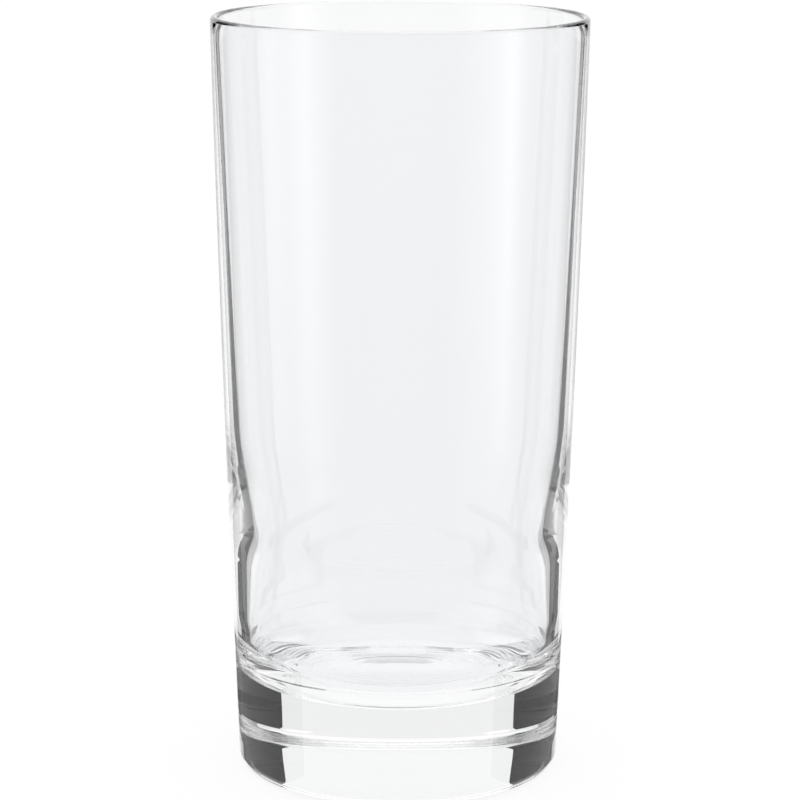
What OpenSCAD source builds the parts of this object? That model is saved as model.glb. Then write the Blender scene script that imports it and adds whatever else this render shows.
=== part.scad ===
// Highball glass: one piece of clear glass, straight tapered walls on a thick base.
// Millimetres, +Z up, origin on the table at the middle of the base.

/* [Outside] */
// Height from the table to the top of the rim
height = 147; // [125:1:170]
// Outside diameter at the rim
rim_d = 72; // [64:0.5:82]
// Outside diameter at the base, where the wall line meets the table
base_d = 62.9; // [56:0.1:70]
// How far the wall stands out from a straight taper, half way up
wall_bow = 0.3; // [0.1:0.05:1]
// Radius of the rounded edge between the wall and the underside
heel_r = 2.2; // [1:0.1:5]

/* [Wall] */
// Wall thickness at the rounded rim
rim_wall = 1.55; // [1:0.05:2.5]
// Height above the thick ring at which the wall starts to thicken
shoulder_rise = 16; // [14:1:40]
// Wall thickness at that height
shoulder_wall = 2.7; // [2:0.1:3.4]
// Radius that eases the wall into its thicker part
shoulder_blend = 180; // [60:10:300]
// Height of the thick ring in the wall above the inside floor
gather_rise = 28.5; // [27:0.1:36]
// Wall thickness at that ring
gather_wall = 4.15; // [3.6:0.05:4.8]
// Radius on the crest of the ring
gather_blend = 38; // [10:1:80]
// How far below the ring the wall is thin again
well_drop = 15.7; // [8:0.1:17]
// Wall thickness there
well_wall = 3.2; // [2.6:0.05:3.5]
// Radius that eases the ring into the thin wall under it
well_blend = 40; // [10:5:60]

/* [Base] */
// Thickness of the base, from the table to the inside floor
floor_z = 17.5; // [10:0.1:24]
// Wall thickness where the wall line meets the inside floor
floor_wall = 3.15; // [2.6:0.05:4.5]
// Radius of the inside corner between the wall and the floor
floor_corner = 10; // [4:0.5:11.5]
// Diameter of the hollow under the base
recess_d = 46; // [30:1:50]
// Depth of that hollow in the middle
recess_depth = 0.35; // [0.2:0.05:1]

/* [Hidden] */
$fa = 3;
$fs = 0.4;
rim_r = rim_d / 2;
base_r = base_d / 2;
recess_r = recess_d / 2;
lip_r = rim_wall / 2;

// How far neighbouring curves overlap, so that they join without a gap
hair = 0.002;

// The rounded lip
lip_c = [rim_r - lip_r, height - lip_r];
lip_z = lip_c[1];

// Distance of the outside wall from the axis at a height: a taper with a slight bow
function taper(z) = base_r + (rim_r - hair - base_r) * z / lip_z;
function outside(z) = taper(z) + 4 * wall_bow * z * (lip_z - z) / pow(lip_z, 2);

// The wall is drawn in bands, each a plain cone
wall_bands = 6;
wall = [for (i = [0:wall_bands]) [outside(lip_z * i / wall_bands), lip_z * i / wall_bands]];

function unit(v) = v / norm(v);

// Heights of the thick ring, of the thin wall under it and of the shoulder over it
gather_z = floor_z + gather_rise;
well_z = gather_z - well_drop;
shoulder_z = gather_z + shoulder_rise;

// The corners of the inside, before they are rounded
middle = [0, floor_z];
corner = [outside(floor_z) - floor_wall, floor_z];
gather = [outside(gather_z) - gather_wall, gather_z];
well = [outside(well_z) - well_wall, well_z];
shoulder = [outside(shoulder_z) - shoulder_wall, shoulder_z];

// The inside wall runs from the shoulder along the line that just touches the lip
lip_way = lip_c - shoulder;
lip_lean = atan2(lip_way[1], lip_way[0]) + asin((lip_r - hair) / norm(lip_way));
rim_in = lip_c + (lip_r - hair) * [-sin(lip_lean), cos(lip_lean)];

// Where a rounding of radius r at the corner k, between a and b, starts and has its middle
function half_turn(a, k, b) = acos(unit(a - k) * unit(b - k)) / 2;
function touch(a, k, b, r) = k + unit(a - k) * r / tan(half_turn(a, k, b));
function round_c(a, k, b, r) = k + unit(unit(a - k) + unit(b - k)) * r / sin(half_turn(a, k, b));

// Which piece to draw

// What lies between a corner and its rounding, reaching a little past the corner
module corner_bit(a, k, b, r) {
    centre = round_c(a, k, b, r);
    difference() {
        polygon([touch(a, k, b, r), k + unit(k - centre), touch(b, k, a, r)]);
        translate(centre) circle(r + hair);
    }
}

// Half of the upright section up to the lip, filled, with the rounded heel
module outside_half() {
    difference() {
        polygon(concat([[0, 0]], wall, [lip_c, [0, lip_z]]));
        corner_bit([0, 0], wall[0], wall[1], heel_r);
    }
}

// The space for the drink, open at the top
module inside_half() {
    difference() {
        polygon([middle, corner, well, gather, shoulder, rim_in, [rim_in[0], height], [0, height]]);
        corner_bit(middle, corner, well, floor_corner);
        corner_bit(corner, well, gather, well_blend);
        corner_bit(gather, shoulder, rim_in, shoulder_blend);
    }
    corner_bit(well, gather, shoulder, gather_blend);
}

// The shallow hollow that leaves the glass standing on a ring
module recess_half() {
    dish_r = (pow(recess_r, 2) + pow(recess_depth, 2)) / (2 * recess_depth);
    translate([0, recess_depth - dish_r]) circle(dish_r, $fn = 240);
}

module tumbler() {
    color([0.9, 0.94, 0.95, 0.4])
        rotate_extrude() {
            difference() {
                outside_half();
                inside_half();
                recess_half();
            }
            translate(lip_c) circle(lip_r);
        }
}

tumbler();
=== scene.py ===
import math

import bmesh
import bpy
from mathutils import Matrix, Vector


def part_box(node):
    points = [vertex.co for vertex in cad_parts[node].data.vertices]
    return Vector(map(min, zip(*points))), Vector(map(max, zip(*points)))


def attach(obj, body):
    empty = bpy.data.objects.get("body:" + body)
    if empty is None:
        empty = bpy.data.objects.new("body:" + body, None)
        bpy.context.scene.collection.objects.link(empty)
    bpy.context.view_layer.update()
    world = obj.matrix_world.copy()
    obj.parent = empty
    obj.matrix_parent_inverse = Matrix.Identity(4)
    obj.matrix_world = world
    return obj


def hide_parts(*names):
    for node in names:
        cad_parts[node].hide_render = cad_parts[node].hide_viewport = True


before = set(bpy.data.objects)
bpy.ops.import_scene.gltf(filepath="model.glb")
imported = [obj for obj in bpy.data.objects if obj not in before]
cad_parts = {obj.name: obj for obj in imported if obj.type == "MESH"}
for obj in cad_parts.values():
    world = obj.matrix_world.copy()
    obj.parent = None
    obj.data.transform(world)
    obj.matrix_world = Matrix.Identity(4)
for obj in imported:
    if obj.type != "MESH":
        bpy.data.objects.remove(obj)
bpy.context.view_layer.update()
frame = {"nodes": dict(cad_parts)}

scene = bpy.context.scene
mm = 0.001
print("frame loaded:", ", ".join(frame["nodes"]))


# the camera, as the photo was taken: a long lens, a little above the rim
cameraView = dict(
    turn=225,          # degrees round the glass; the whole set turns with it
    away=550,          # mm from the axis of the glass
    up=192.97,         # mm above the table
    tilt=12.364,       # degrees down
    roll=0.2,          # degrees
    lens=130.15,       # mm
    sensor=36,         # mm
    sight=100,         # m, how far it sees
    middlePx=398.9,    # column of the picture that the camera looks at
    framePx=800,
    bounces=64,        # light crosses the thick base many times
)
setTurn = Matrix.Rotation(math.radians(cameraView["turn"]), 4, "Z")


def addCamera(view):
    lens = bpy.data.cameras.new("camera")
    lens.sensor_width = view["sensor"]
    lens.lens = view["lens"]
    lens.clip_end = view["sight"]
    lens.shift_x = 0.5 - view["middlePx"] / view["framePx"]
    camera = bpy.data.objects.new("camera", lens)
    scene.collection.objects.link(camera)
    place = Matrix.Translation((0, -view["away"] * mm, view["up"] * mm))
    tilt = Matrix.Rotation(math.radians(90 - view["tilt"]), 4, "X")
    roll = Matrix.Rotation(math.radians(view["roll"]), 4, "Z")
    camera.matrix_world = setTurn @ place @ tilt @ roll
    scene.camera = camera


addCamera(cameraView)
scene.view_settings.view_transform = "Standard"
for limit in ("max_bounces", "transmission_bounces", "glossy_bounces"):
    setattr(scene.cycles, limit, cameraView["bounces"])
print("camera set")


def newMaterial(name):
    material = bpy.data.materials.new(name)
    material.use_nodes = True
    material.node_tree.nodes.clear()
    return material, material.node_tree.nodes, material.node_tree.links


def setSockets(node, **values):
    for name, value in values.items():
        node.inputs[name.replace("_", " ")].default_value = value


# white table and white room
studio = dict(
    white=0.99,          # how pale the table is
    shadowShare=0.15,    # how much of the shadow the table shows
    tableHalf=20,        # m, from its middle to its edges
    tableDrop=0.02,      # mm under the foot, so the two faces don't touch
    overhead=1.3,        # how bright the room is straight up, against 1 all round
    under=1.06,          # and straight down
    steepFrom=(0.5, 0.75),      # sine of the angle up or down
)


def tableMaterial(sizes):
    material, nodes, links = newMaterial("whiteTable")
    output = nodes.new("ShaderNodeOutputMaterial")
    mix = nodes.new("ShaderNodeMixShader")
    matt = nodes.new("ShaderNodeBsdfDiffuse")
    glow = nodes.new("ShaderNodeEmission")
    rays = nodes.new("ShaderNodeLightPath")
    seen = nodes.new("ShaderNodeMath")
    seen.operation = "MULTIPLY"
    seen.inputs[1].default_value = 1 - sizes["shadowShare"]
    inGlass = nodes.new("ShaderNodeMath")
    inGlass.operation = "MAXIMUM"
    share = nodes.new("ShaderNodeMath")
    share.operation = "MAXIMUM"
    matt.inputs["Color"].default_value = (sizes["white"],) * 3 + (1,)
    links.new(rays.outputs["Is Camera Ray"], seen.inputs[0])
    links.new(rays.outputs["Is Glossy Ray"], inGlass.inputs[0])
    links.new(rays.outputs["Is Transmission Ray"], inGlass.inputs[1])
    links.new(seen.outputs[0], share.inputs[0])
    links.new(inGlass.outputs[0], share.inputs[1])
    links.new(share.outputs[0], mix.inputs["Fac"])
    links.new(matt.outputs[0], mix.inputs[1])
    links.new(glow.outputs[0], mix.inputs[2])
    links.new(mix.outputs[0], output.inputs["Surface"])
    return material


def addSheet(name, corners, faces, material):
    mesh = bpy.data.meshes.new(name)
    mesh.from_pydata([setTurn @ Vector(corner) for corner in corners], [], faces)
    mesh.materials.append(material)
    sheet = bpy.data.objects.new(name, mesh)
    scene.collection.objects.link(sheet)
    return sheet


def addTable(sizes):
    half = sizes["tableHalf"]
    drop = -sizes["tableDrop"] * mm
    corners = [(-half, -half, drop), (half, -half, drop), (half, half, drop), (-half, half, drop)]
    table = addSheet("whiteTable", corners, [(0, 1, 2, 3)], tableMaterial(sizes))
    # the glass looks through to the white room, as on a lit table
    table.visible_transmission = False
    table.visible_glossy = False


def addRoom(sizes):
    world = bpy.data.worlds.new("whiteRoom")
    world.use_nodes = True
    nodes, links = world.node_tree.nodes, world.node_tree.links
    room = nodes["Background"]
    room.inputs["Color"].default_value = (1, 1, 1, 1)
    way = nodes.new("ShaderNodeTexCoord")
    parts = nodes.new("ShaderNodeSeparateXYZ")
    both = nodes.new("ShaderNodeMath")
    both.operation = "MULTIPLY"
    links.new(way.outputs["Generated"], parts.inputs[0])
    for i, (side, bright) in enumerate(((1, sizes["overhead"]), (-1, sizes["under"]))):
        light = nodes.new("ShaderNodeMapRange")
        light.interpolation_type = "SMOOTHSTEP"
        start, end = sizes["steepFrom"]
        setSockets(light, From_Min=side * start, From_Max=side * end, To_Min=1, To_Max=bright)
        links.new(parts.outputs["Z"], light.inputs["Value"])
        links.new(light.outputs["Result"], both.inputs[i])
    links.new(both.outputs[0], room.inputs["Strength"])
    scene.world = world


addTable(studio)
addRoom(studio)
print("table and room set")


# dark cards round the glass, which only the glass sees; mm, given for the right side
# the glow is 1 where a card is as bright as the room
cards = dict(
    wallStrip=dict(line=((75.3, 60), (96, 60)), z=(30, 95, 140), bright=0.0,
                   shift=((0, -3, -10), (0, -10.5, -16.5))),   # sideways at each height
    wallFoot=dict(line=((67, 60), (101, 60)), z=(-60, 30), bright=0.08),
    wallFade=dict(line=((328, 331), (409, 331), (520, 331), (800, 331)), z=(-230, 95),
                  bright=(0.38, 0.6, 0.8, 1)),
    baseLow=dict(line=((64.6, 134), (104.4, 89.7), (119, 31), (119, -60)), z=(-42, -16), bright=0.05),
    baseHigh=dict(line=((500, 753), (500, 60)), z=(140, 420), bright=0.05),
    frontHigh=dict(line=((0, -700), (700, -600)), z=(400, 1100), bright=0.2),
)
# soft boxes: degrees round the glass and mm up, each with its share of the light above the room's
softBoxes = dict(
    left=dict(reach=600, bright=1.6,
              across=((-84, 0), (-96, 1), (-106, 0.75), (-126, 0.6), (-142, 0)),
              up=((-150, 0), (-90, 0.45), (0, 0.9), (80, 1), (700, 1))),
    right=dict(reach=600, bright=1.8,
               across=((94, 0), (110, 1), (120, 0.5), (132, 0)),
               up=((-150, 0), (-90, 0.6), (0, 0.9), (80, 1), (700, 1))),
    back=dict(reach=5000, bright=1.2,
              across=((-46, 0), (-36, 1), (36, 1), (46, 0)),
              up=((-1434, 0), (-787, 0.03), (-391, 0.08), (-250, 0.12), (-120, 0.5),
                  (37, 0.95), (437, 1), (970, 1), (1150, 0.4), (2438, 0.4), (2771, 0))),
    edgeLeft=dict(reach=4000, bright=1.25, across=((-33, 0), (-30, 1), (-25, 1), (-21, 0)),
                  up=((-1000, 0), (-880, 1), (-400, 1), (-250, 0))),
    edgeRight=dict(reach=4000, bright=1.25, across=((21, 0), (25, 1), (30, 1), (33, 0)),
                   up=((-1000, 0), (-880, 1), (-400, 1), (-250, 0))),
)


def cardMaterial(name):
    # each card glows by its own measure
    material, nodes, links = newMaterial(name)
    output = nodes.new("ShaderNodeOutputMaterial")
    glow = nodes.new("ShaderNodeEmission")
    measure = nodes.new("ShaderNodeAttribute")
    measure.attribute_name = "bright"
    links.new(measure.outputs["Fac"], glow.inputs["Strength"])
    links.new(glow.outputs[0], output.inputs["Surface"])
    return material


def addCard(name, line, heights, brights, material, shifts=None):
    # upright, along the line; the brights go up each of its places in turn
    rows = len(heights)
    corners = []
    for place, (x, y) in enumerate(line):
        for row, z in enumerate(heights):
            shift = shifts[place][row] if shifts else 0
            corners.append(((x + shift) * mm, y * mm, z * mm))
    faces = []
    for i in range(len(line) - 1):
        for j in range(i * rows, i * rows + rows - 1):
            faces.append((j, j + rows, j + rows + 1, j + 1))
    card = addSheet(name, corners, faces, material)
    card.data.attributes.new("bright", "FLOAT", "POINT").data.foreach_set("value", brights)
    card.visible_camera = False
    card.visible_diffuse = False
    card.visible_shadow = False


def addCards(sizes, material):
    for name, card in sizes.items():
        for side, sign in (("Left", -1), ("Right", 1)):
            line = [(sign * x, y) for x, y in card["line"]]
            bright = card["bright"]
            along = bright if isinstance(bright, tuple) else (bright,) * len(line)
            brights = [share for share in along for height in card["z"]]
            shifts = [[sign * shift for shift in place] for place in card.get("shift", ())]
            addCard(name + side, line, card["z"], brights, material, shifts)


def addSoftBoxes(sizes, material):
    for side, box in sizes.items():
        line, brights = [], []
        for degrees, across in box["across"]:
            turn = math.radians(degrees)
            line.append((box["reach"] * math.sin(turn), box["reach"] * math.cos(turn)))
            for height, up in box["up"]:
                brights.append(1 + (box["bright"] - 1) * across * up)
        heights = [height for height, up in box["up"]]
        addCard("softBox" + side.title(), line, heights, brights, material)


cardGlow = cardMaterial("studioCard")
addCards(cards, cardGlow)
addSoftBoxes(softBoxes, cardGlow)
print("cards set")


# clear glass: polished, with the faint unevenness of a fire-finished surface
clearGlass = dict(
    tint=(0.934, 0.938, 0.945),
    ior=1.52,
    absorb=1.2,              # per metre
    polish=(0.0, 0.004),     # roughness, from the clearest to the dullest places
    polishFrom=(0.5, 0.8),   # the noise values where it starts and ends
    polishScale=60,
    polishDetail=3,
    skin=0.02,               # bump strength
    skinScale=25,
    skinDetail=1,
)


def glassMaterial(look):
    material, nodes, links = newMaterial("clearGlass")
    output = nodes.new("ShaderNodeOutputMaterial")
    glass = nodes.new("ShaderNodeBsdfPrincipled")
    glass.inputs["Base Color"].default_value = look["tint"] + (1,)
    setSockets(glass, IOR=look["ior"], Transmission_Weight=1.0)
    place = nodes.new("ShaderNodeTexCoord")
    dull = nodes.new("ShaderNodeTexNoise")
    setSockets(dull, Scale=look["polishScale"], Detail=look["polishDetail"])
    polish = nodes.new("ShaderNodeMapRange")
    start, end = look["polishFrom"]
    clearest, dullest = look["polish"]
    setSockets(polish, From_Min=start, From_Max=end, To_Min=clearest, To_Max=dullest)
    waves = nodes.new("ShaderNodeTexNoise")
    setSockets(waves, Scale=look["skinScale"], Detail=look["skinDetail"])
    skin = nodes.new("ShaderNodeBump")
    setSockets(skin, Strength=look["skin"], Distance=mm)
    absorb = nodes.new("ShaderNodeVolumeAbsorption")
    absorb.inputs["Color"].default_value = (0, 0, 0, 1)
    absorb.inputs["Density"].default_value = look["absorb"]
    links.new(place.outputs["Object"], dull.inputs["Vector"])
    links.new(place.outputs["Object"], waves.inputs["Vector"])
    links.new(dull.outputs["Fac"], polish.inputs["Value"])
    links.new(polish.outputs["Result"], glass.inputs["Roughness"])
    links.new(waves.outputs["Fac"], skin.inputs["Height"])
    links.new(skin.outputs["Normal"], glass.inputs["Normal"])
    links.new(glass.outputs[0], output.inputs["Surface"])
    links.new(absorb.outputs[0], output.inputs["Volume"])
    return material


# the tumbler: one upright section, turned round the axis
tumblerSizes = dict(     # mm; height and rim come from the frame
    baseD=62.9,
    wallBow=0.3,
    heelR=2.2,
    rimWall=1.55,
    shoulderRise=16, shoulderWall=2.7, shoulderBlend=180,
    gatherRise=28.5, gatherWall=4.15, gatherBlend=38,
    wellDrop=15.7, wellWall=3.2, wellBlend=40,
    floorZ=17.5, floorWall=3.15, floorCorner=10,
    recessD=46, recessDepth=0.35,
    # low rings on the floor: radius, width and height of each
    floorRings=((12.5, 0.5, 0.05), (18.1, 0.5, 0.2), (21.2, 0.5, 0.22)),
    ringsBelow=2,         # they end this far above the floor
    waveFrom=(27, 22),    # heights between which the inside wall turns wavy
    wave=0.06,            # how far it waves in and out
    wavesAround=0.35,     # the waves are long round the glass
    wavesAlong=480,       # and short up the wall and over the floor
    floorWave=0.5,        # share of the waviness at the edge of the floor
    seed=7,
    around=320,
    step=1.6,             # longest straight stretch between two points of the section
    fineStep=0.4,         # the same, low on the inside
    wallStep=3.2,         # and on the outside wall
    arcStep=4,            # degrees
    lipStep=8,            # degrees
    weld=0.001,           # points closer than this become one
)


def linePoints(start, end, step):
    count = max(1, math.ceil((end - start).length / step))
    return [start.lerp(end, i / count) for i in range(1, count + 1)]


def arcPoints(centre, start, end, step):
    # from start to end the short way round
    first = start - centre
    turn = first.angle_signed(end - centre)
    count = max(2, math.ceil(abs(math.degrees(turn)) / step))
    points = []
    for i in range(1, count + 1):
        points.append(centre + Matrix.Rotation(-turn * i / count, 2) @ first)
    return points


def roundCorner(before, corner, after, radius):
    # where the rounding starts and ends, and its middle
    back = (before - corner).normalized()
    on = (after - corner).normalized()
    half = back.angle(on) / 2
    start = corner + back * radius / math.tan(half)
    end = corner + on * radius / math.tan(half)
    centre = corner + (back + on).normalized() * radius / math.sin(half)
    return start, end, centre


def upright(sizes):
    low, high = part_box("tumbler")
    height = (high.z - low.z) / mm
    rimR = (high.x - low.x) / 2 / mm
    baseR = sizes["baseD"] / 2
    lipR = sizes["rimWall"] / 2
    lip = Vector((rimR - lipR, height - lipR))
    step, fineStep = sizes["step"], sizes["fineStep"]
    arcStep, lipStep = sizes["arcStep"], sizes["lipStep"]

    def outside(z):
        taper = baseR + (rimR - baseR) * z / lip.y
        return taper + 4 * sizes["wallBow"] * z * (lip.y - z) / lip.y ** 2

    # underside: the shallow hollow, the ring that it stands on, the heel
    recessR, depth = sizes["recessD"] / 2, sizes["recessDepth"]
    dishR = (recessR ** 2 + depth ** 2) / (2 * depth)
    points = [Vector((0, depth))]
    count = math.ceil(recessR / step)
    for i in range(1, count + 1):
        r = recessR * i / count
        points.append(Vector((r, depth - dishR + math.sqrt(dishR ** 2 - r ** 2))))
    foot = Vector((outside(0), 0))
    aim = Vector((outside(10), 10))      # a place on the wall, which gives its lean at the foot
    heelStart, heelEnd, heel = roundCorner(Vector((0, 0)), foot, aim, sizes["heelR"])
    points += linePoints(points[-1], heelStart, step)
    points += arcPoints(heel, heelStart, heelEnd, arcStep)

    # outside wall and lip
    bands = math.ceil((lip.y - heelEnd.y) / sizes["wallStep"])
    for i in range(1, bands + 1):
        z = heelEnd.y + (lip.y - heelEnd.y) * i / bands
        points.append(Vector((outside(z), z)))
    top = Vector((lip.x, height))
    points += arcPoints(lip, points[-1], top, lipStep)

    # inside, from the lip to the middle of the floor
    def inside(z, wall):
        return Vector((outside(z) - wall, z))

    gatherZ = sizes["floorZ"] + sizes["gatherRise"]
    shoulder = inside(gatherZ + sizes["shoulderRise"], sizes["shoulderWall"])
    gather = inside(gatherZ, sizes["gatherWall"])
    well = inside(gatherZ - sizes["wellDrop"], sizes["wellWall"])
    corner = inside(sizes["floorZ"], sizes["floorWall"])
    middle = Vector((0, sizes["floorZ"]))
    way = lip - shoulder
    lean = math.atan2(way.y, way.x) + math.asin(lipR / way.length)
    rimIn = lip + Vector((-math.sin(lean), math.cos(lean))) * lipR
    points += arcPoints(lip, top, rimIn, lipStep)
    stops = [rimIn, shoulder, gather, well, corner, middle]
    blends = [sizes["shoulderBlend"], sizes["gatherBlend"], sizes["wellBlend"], sizes["floorCorner"]]
    insideFrom = len(points)
    for i, blend in enumerate(blends):
        start, end, centre = roundCorner(stops[i], stops[i + 1], stops[i + 2], blend)
        near = step if i < 2 else fineStep
        points += linePoints(points[-1], start, near)
        points += arcPoints(centre, start, end, min(arcStep, math.degrees(near / blend)))
    floorFrom = len(points)
    points += linePoints(points[-1], middle, fineStep)
    for point in points[insideFrom:-1]:
        if point.y < sizes["floorZ"] + sizes["ringsBelow"]:
            for ringR, ringWide, ringHigh in sizes["floorRings"]:
                point.y += ringHigh * math.exp(-((point.x - ringR) / ringWide) ** 2)

    # how much of the waviness each point takes, and how far along the section it lies
    highest, lowest = sizes["waveFrom"]
    floorR = points[floorFrom - 1].x
    waves, along = [], [0]
    for i, point in enumerate(points):
        share = (highest - point.y) / (highest - lowest) if i >= insideFrom else 0
        if i >= floorFrom:
            share = sizes["floorWave"] * point.x / floorR
        waves.append(min(max(share, 0), 1))
        if i:
            along.append(along[-1] + (point - points[i - 1]).length * mm)
    return points, waves, along


def sectionObject(points, waves, along):
    mesh = bpy.data.meshes.new("tumblerSection")
    mesh.from_pydata([(p.x * mm, 0, p.y * mm) for p in points],
                     [(i, i + 1) for i in range(len(points) - 1)], [])
    mesh.attributes.new("wave", "FLOAT", "POINT").data.foreach_set("value", waves)
    mesh.attributes.new("along", "FLOAT", "POINT").data.foreach_set("value", along)
    section = bpy.data.objects.new("tumblerSection", mesh)
    scene.collection.objects.link(section)
    return section


def turningTree(weld):
    # turns the section round the Z axis and gives the inside its waves
    tree = bpy.data.node_groups.new("turnTumbler", "GeometryNodeTree")
    sockets = tree.interface
    sockets.new_socket("Section", in_out="INPUT", socket_type="NodeSocketGeometry")
    sockets.new_socket("Around", in_out="INPUT", socket_type="NodeSocketInt")
    sockets.new_socket("Wave Height", in_out="INPUT", socket_type="NodeSocketFloat")
    sockets.new_socket("Waves Around", in_out="INPUT", socket_type="NodeSocketFloat")
    sockets.new_socket("Waves Along", in_out="INPUT", socket_type="NodeSocketFloat")
    sockets.new_socket("Seed", in_out="INPUT", socket_type="NodeSocketFloat")
    sockets.new_socket("Glass", in_out="INPUT", socket_type="NodeSocketMaterial")
    sockets.new_socket("Tumbler", in_out="OUTPUT", socket_type="NodeSocketGeometry")
    nodes, links = tree.nodes, tree.links
    inputs = nodes.new("NodeGroupInput").outputs
    result = nodes.new("NodeGroupOutput")

    def math2(operation, a, b=None):
        node = nodes.new("ShaderNodeMath")
        node.operation = operation
        for socket, value in zip(node.inputs, (a, b)):
            if isinstance(value, (int, float)):
                socket.default_value = value
            elif value is not None:
                links.new(value, socket)
        return node.outputs[0]

    size = nodes.new("GeometryNodeAttributeDomainSize")
    links.new(inputs["Section"], size.inputs[0])
    count = size.outputs["Point Count"]

    sheet = nodes.new("GeometryNodeMeshGrid")
    links.new(math2("ADD", inputs["Around"], 1), sheet.inputs["Vertices X"])
    links.new(count, sheet.inputs["Vertices Y"])

    index = nodes.new("GeometryNodeInputIndex").outputs[0]
    along = math2("MODULO", index, count)
    turn = math2("FLOOR", math2("DIVIDE", math2("ADD", index, 0.5), count))
    angle = math2("DIVIDE", math2("MULTIPLY", turn, 2 * math.pi), inputs["Around"])

    def fromSection(kind, source):
        sample = nodes.new("GeometryNodeSampleIndex")
        sample.data_type = kind
        links.new(inputs["Section"], sample.inputs["Geometry"])
        links.new(source, sample.inputs["Value"])
        links.new(along, sample.inputs["Index"])
        return sample.outputs[0]

    def named(name):
        node = nodes.new("GeometryNodeInputNamedAttribute")
        node.data_type = "FLOAT"
        node.inputs["Name"].default_value = name
        return node.outputs[0]

    place = fromSection("FLOAT_VECTOR", nodes.new("GeometryNodeInputPosition").outputs[0])
    share = fromSection("FLOAT", named("wave"))
    length = fromSection("FLOAT", named("along"))

    turned = nodes.new("ShaderNodeVectorRotate")
    turned.rotation_type = "Z_AXIS"
    links.new(place, turned.inputs["Vector"])
    links.new(angle, turned.inputs["Angle"])

    where = nodes.new("ShaderNodeCombineXYZ")
    links.new(math2("MULTIPLY", math2("COSINE", angle), inputs["Waves Around"]), where.inputs["X"])
    links.new(math2("MULTIPLY", math2("SINE", angle), inputs["Waves Around"]), where.inputs["Y"])
    links.new(math2("MULTIPLY", length, inputs["Waves Along"]), where.inputs["Z"])
    waves = nodes.new("ShaderNodeTexNoise")
    waves.noise_dimensions = "4D"
    setSockets(waves, Scale=1, Detail=1)
    links.new(where.outputs[0], waves.inputs["Vector"])
    links.new(inputs["Seed"], waves.inputs["W"])
    swing = math2("MULTIPLY", math2("SUBTRACT", waves.outputs["Fac"], 0.5), inputs["Wave Height"])

    keep = nodes.new("GeometryNodeStoreNamedAttribute")
    keep.data_type = "FLOAT"
    keep.inputs["Name"].default_value = "wave"
    links.new(sheet.outputs["Mesh"], keep.inputs["Geometry"])
    links.new(math2("MULTIPLY", swing, share), keep.inputs["Value"])

    wrap = nodes.new("GeometryNodeSetPosition")
    links.new(keep.outputs[0], wrap.inputs["Geometry"])
    links.new(turned.outputs[0], wrap.inputs["Position"])

    close = nodes.new("GeometryNodeMergeByDistance")
    close.inputs["Distance"].default_value = weld
    links.new(wrap.outputs[0], close.inputs["Geometry"])

    push = nodes.new("ShaderNodeVectorMath")
    push.operation = "SCALE"
    links.new(nodes.new("GeometryNodeInputNormal").outputs[0], push.inputs[0])
    links.new(named("wave"), push.inputs["Scale"])
    ripple = nodes.new("GeometryNodeSetPosition")
    links.new(close.outputs[0], ripple.inputs["Geometry"])
    links.new(push.outputs[0], ripple.inputs["Offset"])

    smooth = nodes.new("GeometryNodeSetShadeSmooth")
    real = nodes.new("GeometryNodeRealizeInstances")
    finish = nodes.new("GeometryNodeSetMaterial")
    links.new(ripple.outputs[0], smooth.inputs["Geometry"])
    links.new(smooth.outputs[0], real.inputs["Geometry"])
    links.new(real.outputs[0], finish.inputs["Geometry"])
    links.new(inputs["Glass"], finish.inputs["Material"])
    links.new(finish.outputs[0], result.inputs["Tumbler"])
    return tree


def turnTumbler(sizes, glass):
    points, waves, along = upright(sizes)
    section = sectionObject(points, waves, along)
    tree = turningTree(sizes["weld"] * mm)
    lathe = section.modifiers.new("turnTumbler", "NODES")
    lathe.node_group = tree
    settings = {
        "Around": sizes["around"],
        "Wave Height": sizes["wave"] * mm * 2,
        "Waves Around": sizes["wavesAround"],
        "Waves Along": float(sizes["wavesAlong"]),
        "Seed": float(sizes["seed"]),
        "Glass": glass,
    }
    for socket in tree.interface.items_tree:
        if socket.in_out == "INPUT" and socket.name in settings:
            lathe[socket.identifier] = settings[socket.name]
    shown = bpy.context.evaluated_depsgraph_get()
    mesh = bpy.data.meshes.new_from_object(section.evaluated_get(shown), depsgraph=shown)
    bpy.data.objects.remove(section)
    mesh.name = "tumbler"

    shape = bmesh.new()
    shape.from_mesh(mesh)
    bmesh.ops.recalc_face_normals(shape, faces=shape.faces)
    shape.to_mesh(mesh)
    shape.free()
    tumbler = bpy.data.objects.new("tumblerGlass", mesh)
    scene.collection.objects.link(tumbler)
    print("tumbler turned:", len(points), "points in the section,", len(mesh.polygons), "faces")
    return tumbler


tumbler = turnTumbler(tumblerSizes, glassMaterial(clearGlass))
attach(tumbler, "root")
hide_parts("tumbler")
